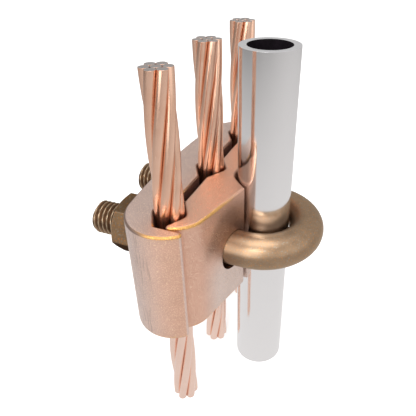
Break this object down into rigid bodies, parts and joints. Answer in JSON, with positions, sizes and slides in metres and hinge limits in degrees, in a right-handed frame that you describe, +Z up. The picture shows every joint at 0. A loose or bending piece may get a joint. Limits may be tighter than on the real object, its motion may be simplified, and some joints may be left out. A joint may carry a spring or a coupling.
{
  "type": "earth rod clamp",
  "caption": "Cast copper-alloy clamp with a hooked rear cap and a bronze U-bolt, gripping an upright earth rod and a row of bare stranded copper conductors.",
  "frame": {"origin": "bottom centre of the whole part's box, level with the cut lower ends of the rod and the conductors", "axes": "+Z up the rod, +Y from the rod through both halves to the nuts, +X along the row of conductors"},
  "size_m": [0.1016, 0.092, 0.147],
  "materials": {
    "front_copper": "fine sand-cast copper alloy, satin",
    "rear_copper": "fine sand-cast copper alloy, satin",
    "bolt_bronze": "mottled brown bronze patina, soft gloss",
    "nut_bronze": "mottled brown bronze patina",
    "rod_steel": "bright drawn steel, mirror-like",
    "strand_copper": "bare drawn copper wire"
  },
  "bodies": {
    "rod_bolt": {"earth_rod": "rod_steel", "u_bolt": "bolt_bronze"},
    "front_half": {"front_body": "front_copper", "conductor_near_core": "strand_copper", "conductor_near_strand_1": "strand_copper", "conductor_near_strand_2": "strand_copper", "conductor_near_strand_3": "strand_copper", "conductor_near_strand_4": "strand_copper", "conductor_near_strand_5": "strand_copper", "conductor_near_strand_6": "strand_copper", "conductor_middle_core": "strand_copper", "conductor_middle_strand_1": "strand_copper", "conductor_middle_strand_2": "strand_copper", "conductor_middle_strand_3": "strand_copper", "conductor_middle_strand_4": "strand_copper", "conductor_middle_strand_5": "strand_copper", "conductor_middle_strand_6": "strand_copper", "conductor_far_core": "strand_copper", "conductor_far_strand_1": "strand_copper", "conductor_far_strand_2": "strand_copper", "conductor_far_strand_3": "strand_copper", "conductor_far_strand_4": "strand_copper", "conductor_far_strand_5": "strand_copper", "conductor_far_strand_6": "strand_copper"},
    "rear_half": {"rear_body": "rear_copper"},
    "nut_near": {"nut_near": "nut_bronze"},
    "nut_far": {"nut_far": "nut_bronze"}
  },
  "joints": [
    {"name": "front_slide", "type": "slide", "parent": "rod_bolt", "child": "front_half", "axis": [0, 1, 0], "range_m": [0, 0.006]},
    {"name": "rear_slide", "type": "slide", "parent": "front_half", "child": "rear_half", "axis": [0, 1, 0], "range_m": [0, 0.006]},
    {"name": "nut_near_turn", "type": "hinge", "parent": "rear_half", "child": "nut_near", "pos_m": [-0.0185, 0.02736, 0.0743], "axis": [0, 1, 0], "range_deg": [0, 2160]},
    {"name": "nut_far_turn", "type": "hinge", "parent": "rear_half", "child": "nut_far", "pos_m": [0.0185, 0.02736, 0.0743], "axis": [0, 1, 0], "range_deg": [0, 2160]}
  ],
  "couplings": [
    {"joint": "rear_slide", "follows": "front_slide", "ratio": 1},
    {"joint": "nut_near_turn", "follows": "front_slide", "rad_per_m": 6283.2},
    {"joint": "nut_far_turn", "follows": "front_slide", "rad_per_m": 6283.2}
  ]
}
